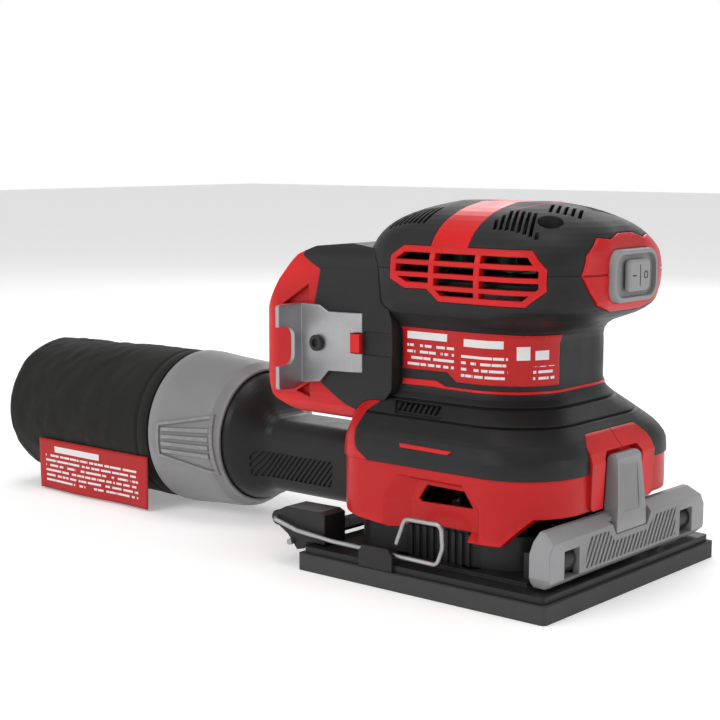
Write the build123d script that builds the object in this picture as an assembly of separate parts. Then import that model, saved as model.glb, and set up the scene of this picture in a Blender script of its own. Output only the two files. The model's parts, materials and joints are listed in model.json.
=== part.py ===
"""Cordless quarter-sheet palm sander with dust bag.

Frame: origin at the centre of the pad's sanding face, on the motor axis.
+X towards the switch and the front paper clamp, +Z up, millimetres.
"""
from build123d import *
import os
from math import atan2, cos, degrees, hypot, radians, sin

# ---- Driving dimensions, mm -------------------------------------------------------------
PAD_LENGTH, PAD_WIDTH, PAD_THICK = 103.6, 110.0, 6.0
FLANGE_TOP = 8.4             # top of the platen's flat flange
ORBIT = 0.8                  # offset of the journal from the motor axis
RUN = 0.05                   # radial clearance of a running fit
GAP = 0.4                    # clearance between rigid neighbours

SKIN = 2.0                   # thickness of the soft grip moulding
WALL = 4.4                   # housing wall, grip included
CAP_WALL = 3.0
RED_INSET = 0.6              # the bare base stands this far inside the grip's hem
GRIP_HEM = 41.5              # height of the grip's lower hem
CAP_SEAM = 106.5             # height of the joint between housing and head cap

RECEPT_HALF = 36.5           # battery receptacle half width
SOCKET_HALF = 31.5
SOCKET_BOTTOM, SOCKET_TOP = 59.0, 103.0
SOCKET_FRONT, RECEPT_REAR = -49.5, -87.5

MOTOR_R, MOTOR_BOTTOM, MOTOR_TOP = 21.5, 58.0, 99.0
SHAFT_R = 2.5
JOURNAL_R = 5.0
ORBIT_BEARING_R = 11.0

DUCT_HALF_Y, DUCT_HALF_Z, DUCT_Z = 14.5, 14.2, 27.4
DUCT_WALL = 2.2
DUCT_CORNER = 7.5
PORT_REAR, PORT_FRONT = -52.5, -36.0
SPOUT_FRONT = -39.0
BAG_Z = 32.2                 # height of the bag's axis
BAG_R, BAG_MOUTH, BAG_END = 31.0, -155.0, -249.5
COLLAR_FRONT = -119.0

FRONT_PIVOT_X, FRONT_PIVOT_Z, DRUM_R = 44.5, 16.5, 4.5
WIRE_R, WIRE_Y = 0.8, -52.0
REAR_PIVOT_X, REAR_PIVOT_Z = -66.0, 15.6
ROD_X, ROD_Z, ROD_R = -59.0, 8.0, 1.1

# Body levels: height, front, rear, half width, front corner radius, rear corner radius.
BODY_LEVELS = [
    (17.0, 45.4, 44.0, 48.0, 24.0, 15.0),
    (30.0, 45.4, 44.0, 48.0, 24.0, 15.0),
    (40.0, 45.4, 44.0, 48.0, 24.0, 15.0),
    (46.0, 45.2, 44.0, 47.8, 24.0, 15.0),
    (49.0, 44.0, 44.0, 46.6, 23.8, 15.0),
    (52.0, 41.8, 44.0, 44.6, 23.4, 15.0),
    (55.0, 38.7, 44.0, 41.6, 23.2, 14.0),
    (58.0, 35.7, 44.0, 38.6, 23.6, 13.0),
    (61.0, 32.6, 44.0, 35.6, 24.0, 12.0),
    (64.0, 29.7, 44.0, 32.8, 23.4, 11.0),
    (67.0, 27.9, 44.0, 31.3, 21.4, 10.0),
    (72.0, 27.6, 44.0, 31.0, 20.4, 10.0),
    (80.0, 27.6, 44.0, 31.0, 20.4, 10.0),
    (85.0, 28.5, 44.0, 31.4, 22.4, 12.0),
    (88.5, 33.0, 44.4, 33.4, 26.4, 16.0),
    (91.5, 40.8, 44.8, 36.0, 27.0, 20.0),
    (94.5, 44.9, 45.0, 37.6, 26.0, 23.0),
    (98.0, 46.4, 45.0, 38.1, 25.2, 24.0),
    (104.0, 46.9, 45.0, 38.3, 25.0, 24.0),
    (110.0, 46.8, 44.6, 37.8, 25.0, 22.8),
    (114.0, 46.4, 43.6, 36.2, 25.2, 21.4),
    (118.0, 45.0, 41.6, 33.6, 26.4, 20.4),
    (121.5, 41.8, 38.9, 29.6, 26.2, 19.6),
    (124.5, 36.0, 34.8, 24.0, 23.0, 18.8),
    (127.0, 28.0, 28.4, 16.4, 15.8, 15.4),
    (128.8, 18.4, 20.0, 7.0, 6.6, 6.6),
]
HUGE = 300.0


# ---- Small helpers ----------------------------------------------------------------------
def outline(z, front, rear, half, front_r, rear_r):
    """Plan outline at height z: a rectangle with round front and round rear corners."""
    corners = [(front, -half), (front, half), (-rear, half), (-rear, -half)]
    radii = [front_r, front_r, rear_r, rear_r]
    return Pos(0, 0, z) * make_face(FilletPolyline(*corners, radius=radii, close=True))


def inset_levels(depth):
    """The body levels moved inwards by depth, square to the body's own side."""
    moved = []
    for i, (z, front, rear, half, front_r, rear_r) in enumerate(BODY_LEVELS):
        below = BODY_LEVELS[max(i - 1, 0)]
        above = BODY_LEVELS[min(i + 1, len(BODY_LEVELS) - 1)]
        rise, run = above[0] - below[0], above[3] - below[3]
        inward = depth * rise / hypot(rise, run)
        lift = depth * run / hypot(rise, run)
        moved.append((z + lift, front - inward, rear - inward, half - inward,
                      max(front_r - inward, 1.0), max(rear_r - inward, 1.0)))
    return moved


def smooth_levels(levels):
    """The levels with one more between each pair, on a smooth curve through them."""
    ends = [levels[0]] + levels + [levels[-1]]
    fine = []
    for before, low, high, after in zip(ends, ends[1:], ends[2:], ends[3:]):
        middle = [(9 * (b + c) - a - d) / 16 for a, b, c, d in zip(before, low, high, after)]
        fine += [low, tuple(middle)]
    return fine + [levels[-1]]


def body(depth):
    """The body's outer form, moved inwards by depth, as one solid."""
    levels = smooth_levels(inset_levels(depth))
    return loft([outline(*level) for level in levels], ruled=True)


def slab(z_low, z_high):
    return Pos(0, 0, (z_low + z_high) / 2) * Box(HUGE, HUGE, z_high - z_low)


def block(x_range, y_range, z_range):
    """A box from three (low, high) pairs."""
    low, high = zip(x_range, y_range, z_range)
    size = [b - a for a, b in zip(low, high)]
    centre = [(a + b) / 2 for a, b in zip(low, high)]
    return Pos(*centre) * Box(*size)


def side_prism(points, y_low, y_high, radius=0):
    """A polygon in side view (x, z) drawn out along Y."""
    face = make_face(Polyline(*points, close=True))
    if radius:
        face = fillet(face.vertices(), radius)
    solid = extrude(Plane.XZ * face, amount=y_high - y_low)
    return Pos(0, y_high, 0) * solid


def front_prism(points, x_low, x_high, radius=0):
    """A polygon in front view (y, z) drawn out along X."""
    face = make_face(Polyline(*points, close=True))
    if radius:
        face = fillet(face.vertices(), radius)
    return Pos(x_low, 0, 0) * extrude(Plane.YZ * face, amount=x_high - x_low)


def upright(x, y, z_low, z_high, radius):
    return Pos(x, y, (z_low + z_high) / 2) * Cylinder(radius, z_high - z_low)


def along_x(x_low, x_high, y, z, radius):
    return Pos((x_low + x_high) / 2, y, z) * Rot(0, 90, 0) * Cylinder(radius, x_high - x_low)


def along_y(x, y_low, y_high, z, radius):
    return Pos(x, (y_low + y_high) / 2, z) * Rot(90, 0, 0) * Cylinder(radius, y_high - y_low)


def both_sides(solid):
    """The solid and its mirror image across the centre plane."""
    return solid + mirror(solid, Plane.XZ)


def save(name, shape):
    shape.label = name
    export_step(shape, f"parts/{name}.step")


def tapered_pocket(outer_points, inner_points, y_outer, y_inner):
    """A pocket in the -Y side that narrows from one side-view outline to another."""
    faces = []
    for points, y in ((outer_points, y_outer), (inner_points, y_inner)):
        faces.append(Pos(0, y, 0) * (Plane.XZ * make_face(Polyline(*points, close=True))))
    return loft(faces, ruled=True)


def bent_rod(points, radii, rod_r):
    """A round rod along straight runs joined by arcs."""
    path = FilletPolyline(*points, radius=radii)
    start = Plane(origin=path @ 0, z_dir=path % 0)
    return sweep(start * Circle(rod_r), path=path)


def ring(x, y, z_low, z_high, outer_r, inner_r):
    return upright(x, y, z_low, z_high, outer_r) - upright(x, y, z_low - 1, z_high + 1, inner_r)


# ---- Body forms and the regions that its pieces share --------------------------------------
BODY = body(0)
BODY_BEZEL = body(-0.6)
BODY_LABEL = body(-0.3)
BODY_BASE = body(RED_INSET)
BODY_BAND = body(1.2)
BODY_UNDER_GRIP = body(SKIN)
BODY_UNDER_CAP = body(CAP_WALL)
CAVITY = body(WALL)

RIGHT_SIDE = block((-HUGE, HUGE), (-HUGE, 0), (-HUGE, HUGE))
LEFT_SIDE = block((-HUGE, HUGE), (0, HUGE), (-HUGE, HUGE))

GRILLE = [(-24, 111.2), (-19.5, 114.6), (31, 114.6), (36.4, 108.6), (36.4, 101.6), (30, 96.4),
          (-3.5, 96.4), (-8.4, 100.4), (-17.6, 100.2), (-24, 103.2)]
GRILLE_INNER = [(-21.6, 110.2), (-18.4, 112.5), (30.2, 112.5), (34.2, 107.8), (34.2, 102.4), (29.2, 98.4),
                (-2.6, 98.4), (-7.4, 102.4), (-17, 102.4), (-21.6, 104.6)]
BAND_X = (-8.2, 7.0)
LOUVRE_TOP, LOUVRE_PITCH, LOUVRE_HEIGHT = 112.4, 4.1, 2.5
LOUVRE_COLUMNS = [(-23, -7.6), (-5.4, 11.0), (13.2, 36)]

BEZEL_HALF = [(25, 106.5), (22.5, 113), (15.5, 118.3), (10, 117.6), (4, 119.4)]
BEZEL_LOW_HALF = [(9, 94), (18, 96.6), (22, 101)]
BEZEL_BACK = 34.0
BOOT_HALF_Y, BOOT_Z, BOOT_FRONT, BOOT_CORNER = 14.0, (97.0, 114.4), 49.6, 5.5
ROCKER_HALF, ROCKER_Z, ROCKER_FRONT = 6.7, (100.6, 110.9), 50.8
ROCKER_BACK, FIELD_X = 49.1, 48.0
ROCKER_PIVOT_X = 44.0

ARCH_SIDE = [(36, 28.9), (45.8, 28.9), (46.5, 44.6), (45.2, 48), (41, 53), (36, 57)]
ARCH_FRONT = [(-19.6, 28.9), (19.6, 28.9), (20, 44), (19, 50), (15.5, 53.6), (-15.5, 53.6), (-19, 50), (-20, 44)]
ARCH_RECESS = [(-12.2, 20), (12.2, 20), (11.8, 45.4), (9.6, 47.8), (-9.6, 47.8), (-11.8, 45.4)]
RECESS_BACK = 42.2

BASE_EDGE = [(-60, 10), (-60, 25.6), (-44.5, 25.4), (-37, 22), (-29, 20.8), (-17, 19.8), (-12, 20.4),
             (-8, 22.4), (16.2, 22.4), (16.6, 19.4), (28.5, 19.6), (37.5, 28.9), (60, 28.9), (60, 10)]
GRIP_REAR = [(-70, 36), (-26, 36), (-26, GRIP_HEM), (-31, 45), (-34, 51), (-33, 57), (-27, 62), (-70, 62)]


def grille_window(margin=0.0):
    face = make_face(Polyline(*GRILLE, close=True))
    window = Pos(0, -20, 0) * extrude(Plane.XZ * offset(face, margin), amount=40)
    return both_sides(window)


def bezel_zone(margin=0.0):
    right = BEZEL_LOW_HALF + BEZEL_HALF
    left = [(-y, z) for y, z in reversed(right)]
    face = fillet(make_face(Polyline(*right, *left, close=True)).vertices(), 1.2)
    return Pos(BEZEL_BACK, 0, 0) * extrude(Plane.YZ * offset(face, margin), amount=30)


def round_block(x_range, half_y, z_range, radius):
    """A block whose four edges along X are round."""
    z_middle = (z_range[0] + z_range[1]) / 2
    face = RectangleRounded(2 * half_y, z_range[1] - z_range[0], radius)
    return Pos(x_range[0], 0, z_middle) * extrude(Plane.YZ * face, amount=x_range[1] - x_range[0])


def tube_section(x, z, half_y, half_z, radius):
    return Pos(x, 0, z) * (Plane.YZ * RectangleRounded(2 * half_y, 2 * half_z, radius))


def port_form(x_low, x_high, extra):
    """The dust duct's own section, enlarged by extra."""
    section = tube_section(x_low, DUCT_Z, DUCT_HALF_Y + extra, DUCT_HALF_Z + extra, DUCT_CORNER + extra)
    return extrude(section, amount=x_high - x_low)


# ---- Battery receptacle form ----------------------------------------------------------------
RECEPT_SIDE = [(-24.6, 64), (-24.6, 88), (-33, 112.4), (-47, 113.8), (-62, 112.4), (-68.5, 109.4), (-77, 100),
               (RECEPT_REAR, 84), (RECEPT_REAR, 68), (-80, 56), (-72, 51.4), (-40, 51), (-30, 57.6)]
RED_SIDE = [(-120, 130), (-66.5, 130), (-66, 109), (-57, 104.4), (-58.5, 98), (-60.5, 90), (-60.5, 68),
            (-56.5, 63.5), (-45.6, 56.9), (-35.9, 53.4), (-28, 51), (-120, 40)]
KEY_TAB = ((-41.8, -37.6), (76.2, 82.8))


def receptacle(depth):
    """The receptacle's outer form, moved inwards by depth."""
    side = fillet(make_face(Polyline(*RECEPT_SIDE, close=True)).vertices(), 3.0)
    half = RECEPT_HALF - depth
    side_form = Pos(0, half, 0) * extrude(Plane.XZ * offset(side, -depth), amount=2 * half)
    front_view = RectangleRounded(2 * half, 64 - 2 * depth, 10)
    front_form = Pos(-100, 0, 82.6) * extrude(Plane.YZ * front_view, amount=90)
    plan_view = RectangleRounded(70 - 2 * depth, 2 * half, 9)
    plan_form = Pos(RECEPT_REAR + 35, 0, 40) * extrude(plan_view, amount=90)
    return side_form & front_form & plan_form


HOOK_SCREW = (-56.8, 78.4)
RECEPT = receptacle(0)
RECEPT_UNDER = receptacle(SKIN)
RED_ZONE = side_prism(RED_SIDE, -60, 60)
SOCKET = block((-100, SOCKET_FRONT), (-SOCKET_HALF, SOCKET_HALF), (SOCKET_BOTTOM, SOCKET_TOP))


def battery_housing():
    """The red shell that holds the pack: socket open to the rear, with two rails."""
    shell = (RECEPT_UNDER - RED_ZONE) + (RECEPT & RED_ZONE)
    shell = shell - BODY - SOCKET
    lead_way = block((-60, -40), (-8, 8), (80, 92))
    rail = block((-84, SOCKET_FRONT), (-SOCKET_HALF - 0.5, -SOCKET_HALF + 5), (86, 89))
    upper = side_prism([(-75.5, 91), (-62.6, 92.6), (-62.6, 99)], -40, -34.2)
    lower = side_prism([(-69, 59.8), (-62.4, 58), (-62.4, 63.4)], -40, -34.2)
    shell += block(KEY_TAB[0], (-38.2, -34), KEY_TAB[1])
    shell = shell - lead_way + both_sides(rail) - along_y(HOOK_SCREW[0], -44, -30, HOOK_SCREW[1], 1.5)
    return shell - both_sides(upper) - both_sides(lower)


def battery_grip():
    """The soft moulding over the front of the receptacle."""
    form = RECEPT - RECEPT_UNDER - BODY - RED_ZONE
    strap_seat = block((KEY_TAB[0][1] + 0.6, -20), (-40, -36.0), (75.6, 83.8))
    form = form - block(KEY_TAB[0], (-40, -30), KEY_TAB[1]) - strap_seat
    return form - along_y(HOOK_SCREW[0], -44, -30, HOOK_SCREW[1], 1.5)


# ---- Housing --------------------------------------------------------------------------------
def arch():
    """The raised guard in front, with the recess that the clamp lever's column stands in."""
    form = side_prism(ARCH_SIDE, -24, 24) & front_prism(ARCH_FRONT, 30, 60, 2.0)
    seam = side_prism(ARCH_SIDE, -0.2, 0.2) - Pos(-0.5, 0, -0.5) * side_prism(ARCH_SIDE, -1, 1)
    return form - CAVITY - (seam & slab(40, 60))


def arch_recess():
    return front_prism(ARCH_RECESS, RECESS_BACK, 60)


def base_pocket():
    """The faceted recess in each side of the base, with the slot that goes through."""
    outer = [(-23, 29), (-15.5, 38.6), (14, 38.4), (21.5, 30.6), (21.4, 19), (-22.6, 19)]
    inner = [(-9, 30), (-5.8, 37), (12.6, 36.8), (18.8, 29.6), (18.6, 22.6), (-9, 22.6)]
    pocket = tapered_pocket(outer, inner, -48.2, -44.7)
    slot = side_prism([(-5.8, 30.6), (-2.4, 35.6), (13, 35.4), (16.8, 30.2), (-4.4, 29.6)], -50, -40)
    return both_sides(pocket + slot)


def housing():
    """Both halves of the housing as one, before they are parted."""
    upper = (BODY_UNDER_GRIP - CAVITY) & slab(GRIP_HEM, CAP_SEAM)
    lower = (BODY_BASE - CAVITY) & slab(19, GRIP_HEM)
    rear = (BODY - CAVITY) & side_prism(GRIP_REAR, -60, 60) & slab(GRIP_HEM, 62)
    bosses = Part()
    for x, z in SHELL_SCREWS:
        bosses += along_y(x, -60, 60, z, 3.6) & BODY_UNDER_GRIP
    shell = upper + lower + rear + arch() + bosses
    shell = shell - arch_recess() - side_prism(BASE_EDGE, -60, 60) - base_pocket()
    shell = shell - grille_window(0.15) - (bezel_zone(0.15) & (BODY_BEZEL - CAVITY))
    shell = shell - port_form(-60, -30, DUCT_WALL + 0.3) - block((-50, -38.8), (-7, 7), (81, 91))
    return shell


SHELL_SCREWS = [(-34.5, 66), (-34.5, 94), (33, 94.6), (-35.4, 48.5)]
SCREW_SEAT_Y, SCREW_WELL_R = 16, 3.1


def shell_half(shell, side):
    """One half of the housing, with its screw bosses joined to its wall and drilled."""
    half = shell & side
    for x, z in SHELL_SCREWS:
        half = half - along_y(x, -12, 30, z, 1.5) - along_y(x, SCREW_SEAT_Y, 60, z, SCREW_WELL_R)
    return half


def grip():
    """The soft moulding over skirt, neck and the head's underside."""
    form = (BODY - BODY_UNDER_GRIP) & slab(GRIP_HEM, CAP_SEAM)
    form = form - side_prism(GRIP_REAR, -60, 60) - RECEPT - front_prism(ARCH_FRONT, 30, 60, 2.0)
    form = form - grille_window(0.15) - bezel_zone(0.15)
    lines = (BODY_LABEL - body(0.6)) & (slab(61.3, 62.1) + slab(56.2, 56.9))
    band = both_sides(side_prism([(-23.4, 61), (-3.4, 61), (-0.4, 57.2), (-20.6, 57.2)], -60, -30))
    form = form - lines - ((BODY_LABEL - body(0.9)) & band)
    slots = Part()
    for i in range(8):
        slots += block((-20.8 + 2.25 * i, -19.6 + 2.25 * i), (-60, 60), (57.8, 60.5))
    for x, z in SHELL_SCREWS:
        form = form - along_y(x, SCREW_SEAT_Y, 60, z, SCREW_WELL_R)
    return form - (slots & (BODY_LABEL - body(1.7)))


def vent_saddle():
    """The red saddle: a band over the head joined to a louvred grille on each side."""
    grilles = (BODY - BODY_UNDER_CAP) & grille_window()
    band = (BODY - BODY_BAND) & block(BAND_X, (-60, 60), (112, 140))
    louvres = Part()
    for row in range(4):
        z_low = LOUVRE_TOP - LOUVRE_HEIGHT - LOUVRE_PITCH * row
        for column in LOUVRE_COLUMNS if row < 3 else LOUVRE_COLUMNS[1:]:
            louvres += block(column, (-60, 60), (z_low, z_low + LOUVRE_HEIGHT))
    inner = both_sides(side_prism(GRILLE_INNER, -60, -20))
    return grilles + band - (louvres & inner)


CAP_SCREWS = [(29.2, -21), (29.2, 21), (-34, 0)]
CAP_SCREW_SEAT, CAP_WELL_R = 113.0, 4.3
SLOT_WIDTH = 1.2


def cooling_slot(x, y, lean, length):
    """A slot through the cap from its outer end at (x, y), leaning by lean over its length."""
    middle = Pos(x + lean * length / 2, y + length / 2, 125)
    return middle * Rot(0, 0, degrees(atan2(-lean, 1))) * Box(SLOT_WIDTH, length * hypot(lean, 1), 30)


def cooling_slots():
    """Rows of slots beside the band: eight behind it, eight before it and five past the screw well."""
    slots = Part()
    for i in range(8):
        slots += cooling_slot(-30.9 + 2.04 * i, -29.5, -0.06, min(6 + 2.2 * i, 12.5))
        slots += cooling_slot(14 + 2.34 * i, -30.8, -0.5, min(5 + 3.5 * i, 12.5) if i < 7 else 2.5)
    for i in range(5):
        slots += cooling_slot(25 + 2.34 * i, -15 + 0.8 * i, -0.5, 9)
    return both_sides(slots)


def head_cap():
    """The black cap over the head, with cooling slots and three deep screw wells."""
    cap = (BODY - BODY_UNDER_CAP) & slab(CAP_SEAM + 0.1, 140)
    band_seat = block((BAND_X[0] - 0.15, BAND_X[1] + 0.15), (-60, 60), (112, 140))
    cap = cap - cooling_slots() - ((BODY_LABEL - body(1.35)) & band_seat)
    cap = cap - grille_window(0.15) - bezel_zone(0.15)
    for x, y in CAP_SCREWS:
        cap += upright(x, y, CAP_SCREW_SEAT - 2, 127, CAP_WELL_R + 1.4) & BODY_UNDER_CAP
        cap = cap - upright(x, y, CAP_SCREW_SEAT, 140, CAP_WELL_R) - upright(x, y, 100, 140, 1.9)
    return cap


def switch_bezel():
    """The red nose piece round the switch."""
    form = (BODY_BEZEL - BODY_UNDER_CAP) & bezel_zone()
    opening = (BOOT_Z[0] - 0.15, BOOT_Z[1] + 0.15)
    form = form - round_block((30, 70), BOOT_HALF_Y + 0.15, opening, BOOT_CORNER + 0.15)
    groove = (BODY_BEZEL - body(-0.1)) & slab(CAP_SEAM - 0.25, CAP_SEAM + 0.25)
    return form - groove


def switch_boot():
    """Soft grey boot: a raised rim round a lower field that the rocker's stem passes through."""
    boot = round_block((41.5, BOOT_FRONT), BOOT_HALF_Y, BOOT_Z, BOOT_CORNER)
    boot = fillet(boot.edges().group_by(Axis.X)[-1], 0.9)
    field_z = (BOOT_Z[0] + 1.7, BOOT_Z[1] - 1.7)
    boot = boot - round_block((FIELD_X, 60), BOOT_HALF_Y - 1.7, field_z, BOOT_CORNER - 1.2)
    return boot - block((40, 60), (-4.2, 4.2), (ROCKER_Z[0] + 0.6, ROCKER_Z[1] - 0.6))


def switch_rocker():
    """The pad that is pressed, its stem and the pivot pin it tilts on."""
    pad = round_block((ROCKER_BACK, ROCKER_FRONT), ROCKER_HALF, ROCKER_Z, 1.6)
    pad = chamfer(pad.edges().group_by(Axis.X)[-1], 0.7)
    stem = block((ROCKER_PIVOT_X, ROCKER_BACK + 0.1), (-3.0, 3.0), (102, 109.6))
    return pad + stem + upright(ROCKER_PIVOT_X, 0, 102, 109.6, 1.4)


def accents():
    """Thin red stripes on the skirt and below the rating label."""
    skin = BODY_LABEL - BODY
    dash = side_prism([(-12.6, 48.9), (9.6, 48.6), (8, 47.4), (-11.6, 47.6)], -60, -30)
    stripe = side_prism([(-23.4, 68.2), (-9, 68.5), (-5, 67), (60, 66.8), (60, 66), (-5, 66.1),
                         (-10, 66.4), (-23.4, 66.2)], -60, 0)
    return (skin & both_sides(dash)) + (skin & both_sides(stripe))


def rating_label():
    outline_points = [(-23.5, 86.2), (14, 86.2), (60, 84.4), (60, 68.2), (16, 68.8), (-0.5, 68.8),
                      (-4.4, 71.8), (-23.5, 71.6)]
    return (BODY_LABEL - BODY) & side_prism(outline_points, -60, -12)


# ---- Motor and electrics ----------------------------------------------------------------------
SWITCH_X = (26, 41.4)
BLADE_PLACES = [-13.5, -4.5, 4.5, 13.5]
LEAD_PLACES = [-4, 4]
LEAD_X = -26
POSTS = [(x, y) for x in (-27, 23) for y in (-30, 30)]


def motor_can():
    can = ring(0, 0, MOTOR_BOTTOM, MOTOR_TOP, MOTOR_R, MOTOR_R - 1.7)
    can += ring(0, 0, MOTOR_BOTTOM, MOTOR_BOTTOM + 1.5, MOTOR_R, 9)
    can += ring(0, 0, MOTOR_TOP - 1.5, MOTOR_TOP, MOTOR_R, 6)
    return can


def motor_magnets():
    tube = ring(0, 0, 62, 90.4, MOTOR_R - 1.7, 17.6)
    return tube - block((-HUGE, HUGE), (-8, 8), (0, HUGE))


def fan():
    wheel = upright(0, 0, 42, 43.2, 27) + upright(0, 0, 42, 48.6, 6)
    for i in range(11):
        blade = Pos(17, 0, 45.6) * Rot(0, 0, 25) * Box(18, 1.1, 5.6)
        wheel += Rot(0, 0, i * 360 / 11) * blade
    return wheel - upright(0, 0, 40, 50, SHAFT_R)


def eccentric():
    """Journal set off from the motor axis, with the counterweight opposite."""
    journal = upright(ORBIT, 0, 14.2, 28.2, JOURNAL_R)
    weight = upright(0, 0, 28, 36, 19) & block((-HUGE, 0), (-HUGE, HUGE), (0, HUGE))
    hub = upright(0, 0, 28, 36, 7)
    form = journal + weight + hub
    return form - upright(0, 0, 18, 40, SHAFT_R) - upright(ORBIT, 0, 10, 18, 1.8)


def head_frame():
    """Inner plate that holds the upper bearing and takes the cap's screws."""
    plate = extrude(outline(100, 40.9, 39.6, 32.6, 20, 20), amount=3)
    plate += upright(0, 0, 99.2, 104, 10.5) - upright(0, 0, 90, 99.2, 20)
    plate = plate - upright(0, 0, 90, 110, 8) - block((SWITCH_X[0] - GAP, 60), (-10, 10), (90, 120))
    for x, y in CAP_SCREWS:
        plate += upright(x, y, 100, CAP_SCREW_SEAT - 2, 4.2)
        plate = plate - upright(x, y, 90, 120, 1.5)
    for y in LEAD_PLACES:
        plate = plate - upright(LEAD_X, y, 90, 110, 1.8)
    return plate


def control_board():
    board = block((-28.6, 18), (-21, 21), (106.2, 107.8))
    for x, y in ((-14, -10), (-14, 10), (6, -12)):
        board += upright(x, y, 107.8, 112, 3.4)
    board += block((-6, 4), (6, 18), (107.8, 110.2))
    return board - upright(0, 0, 100, 108, 4) - upright(-19, 0, 100, 108, 2)


def fan_baffle():
    plate = extrude(outline(39, 40.4, 35, 43, 19.8, 6), amount=1.5) - upright(0, 0, 38, 42, 21)
    for x, y in POSTS:
        plate += upright(x, y, 34.8, 39.2, 6)
    return plate


# ---- Platen -------------------------------------------------------------------------------------
DECK_FRONT, DECK_TOP = 39.0, 9.6
DUST_HOLES = [(-38, 14), (-38, -14), (38, 14), (38, -14), (-14, 40), (-14, -40), (14, 40), (14, -40)]


def drilled(shape, z_low, z_high, radius, places):
    for x, y in places:
        shape = shape - upright(x, y, z_low, z_high, radius)
    return shape


def platen_pad():
    pad = Pos(0, 0, PAD_THICK / 2) * Box(PAD_LENGTH, PAD_WIDTH, PAD_THICK)
    pad = fillet(pad.edges().filter_by(Axis.Z), 1.5)
    return drilled(pad, -1, 10, 4, DUST_HOLES)


def platen():
    """Flange, deck, bearing boss, ribs, clamp ears and the tab that holds the wire lever."""
    flange = Pos(0, 0, (PAD_THICK + FLANGE_TOP) / 2) * Box(100.6, 107, FLANGE_TOP - PAD_THICK)
    flange = fillet(flange.edges().filter_by(Axis.Z), 1.5)
    deck = block((-41, DECK_FRONT), (-46, 46), (FLANGE_TOP, DECK_TOP))
    form = flange + deck + upright(ORBIT, 0, FLANGE_TOP, 24, 14.5)
    for i in range(8):
        rib = Pos(22, 0, 12) * Box(18, 2, 6)
        form += Rot(0, 0, i * 45 + 22.5) * rib
    form = drilled(form, 0, 20, 4, DUST_HOLES)
    form = form - upright(ORBIT, 0, 15, 30, ORBIT_BEARING_R) - upright(ORBIT, 0, 10.4, 16, 6.6)
    ear = block((34.4, 37), (-41.2, -33.4), (FLANGE_TOP, 18)) + block((36.4, 44), (-41.2, -33.4), (15, 18))
    ear = ear - along_y(FRONT_PIVOT_X, -50, -20, FRONT_PIVOT_Z, DRUM_R)
    rod_ear = along_y(ROD_X, -34, -30, ROD_Z, 2.4) + block((ROD_X, -50), (-34, -30), (6.2, 8.2))
    rod_ear = rod_ear - along_y(ROD_X, -40, -20, ROD_Z, ROD_R + RUN)
    form += both_sides(ear) + both_sides(rod_ear)
    tab = block((-24, -9.5), (-54.7, -53.3), (PAD_THICK, 13.8))
    tab = chamfer(tab.edges().filter_by(Axis.Y).group_by(Axis.Z)[-1], 2)
    return form + tab


def dust_skirt():
    """Wall that stands on the platen inside the housing's hem, ribbed beside the clamp."""
    wall = extrude(outline(FLANGE_TOP, 37.6, 37.6, 41.2, 20, 9), amount=13)
    wall = wall - extrude(outline(FLANGE_TOP, 35.8, 35.8, 39.4, 18.2, 7.2), amount=13)
    wall = wall - block((-41, DECK_FRONT), (-46, 46), (0, DECK_TOP))
    for i in range(9):
        rib = block((-12 + 3 * i, -10.6 + 3 * i), (-42.2, -41), (DECK_TOP, 20.6))
        wall += both_sides(rib)
    return wall - block((-60, -30), (-21, 21), (0, 40)) - both_sides(block((34, 37.4), (-42, -33), (0, 30)))


# ---- Paper clamps ---------------------------------------------------------------------------------
LEVER_BAR = [(42.4, 11), (42.4, 24), (43.6, 27.2), (45.6, 27.2), (50, 24.2), (50, 11.8), (47.4, 9.4), (43, 9.6)]
LEVER_ENDS = [(-50, 13), (-48, 9), (48, 9), (50, 13), (50, 20.5), (45.5, 27.6), (-45.5, 27.6), (-50, 20.5)]
LEVER_NOTCH = [(-15, 28), (15, 28), (10, 20.4), (-10, 20.4)]
COLUMN_SIDE = [(44.3, 21), (44.3, 45.2), (45.2, 46.4), (47.2, 46.4), (48.4, 45), (49.6, 30), (49.8, 20.6), (46, 20)]
COLUMN_FRONT = [(-9.6, 20), (9.6, 20), (7.4, 46.6), (-7.4, 46.6)]
GROOVE_AREA = [(-29.5, 12.8), (29.5, 12.8), (29.5, 22.6), (15, 22.6), (10.8, 18.4), (-10.8, 18.4),
               (-15, 22.6), (-26.5, 22.6)]
WINDOW_Y, WINDOW_Z = (-41.4, -32.6), (11.8, 20.8)


def lever_grooves():
    """Slanted grooves across the bar's front face."""
    grooves = Part()
    for i in range(26):
        grooves += Pos(50, -33 + 2.6 * i, 17.5) * Rot(-30, 0, 0) * Box(1.4, 1.1, 30)
    return grooves & front_prism(GROOVE_AREA, 40, 60)


def front_clamp_lever():
    """Grey lever: a bar across the platen's front and a column for the finger."""
    bar = side_prism(LEVER_BAR, -50, 50) & front_prism(LEVER_ENDS, 40, 60)
    bar = bar - block((40, 47.6), (-32.6, 32.6), (0, 24.4)) - front_prism(LEVER_NOTCH, 47.6, 60)
    bar = bar - lever_grooves()
    column = side_prism(COLUMN_SIDE, -12, 12) & front_prism(COLUMN_FRONT, 40, 60, 1.4)
    panel = side_prism([(49.05, 42.4), (48.6, 41.8), (49.0, 34.4), (49.6, 27), (52, 27), (52, 42.4)], -4.8, 4.8)
    drum = along_y(FRONT_PIVOT_X, -42, -32.6, FRONT_PIVOT_Z, DRUM_R + RUN)
    web_way = block((30, 43.8), (-42, -32.6), (0, 19.2))
    window = block((44, 60), WINDOW_Y, WINDOW_Z)
    return bar + (column - panel) - both_sides(drum) - both_sides(window) - both_sides(web_way)


def front_clamp_drums():
    return both_sides(along_y(FRONT_PIVOT_X, -41.2, -33.4, FRONT_PIVOT_Z, DRUM_R))


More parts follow.
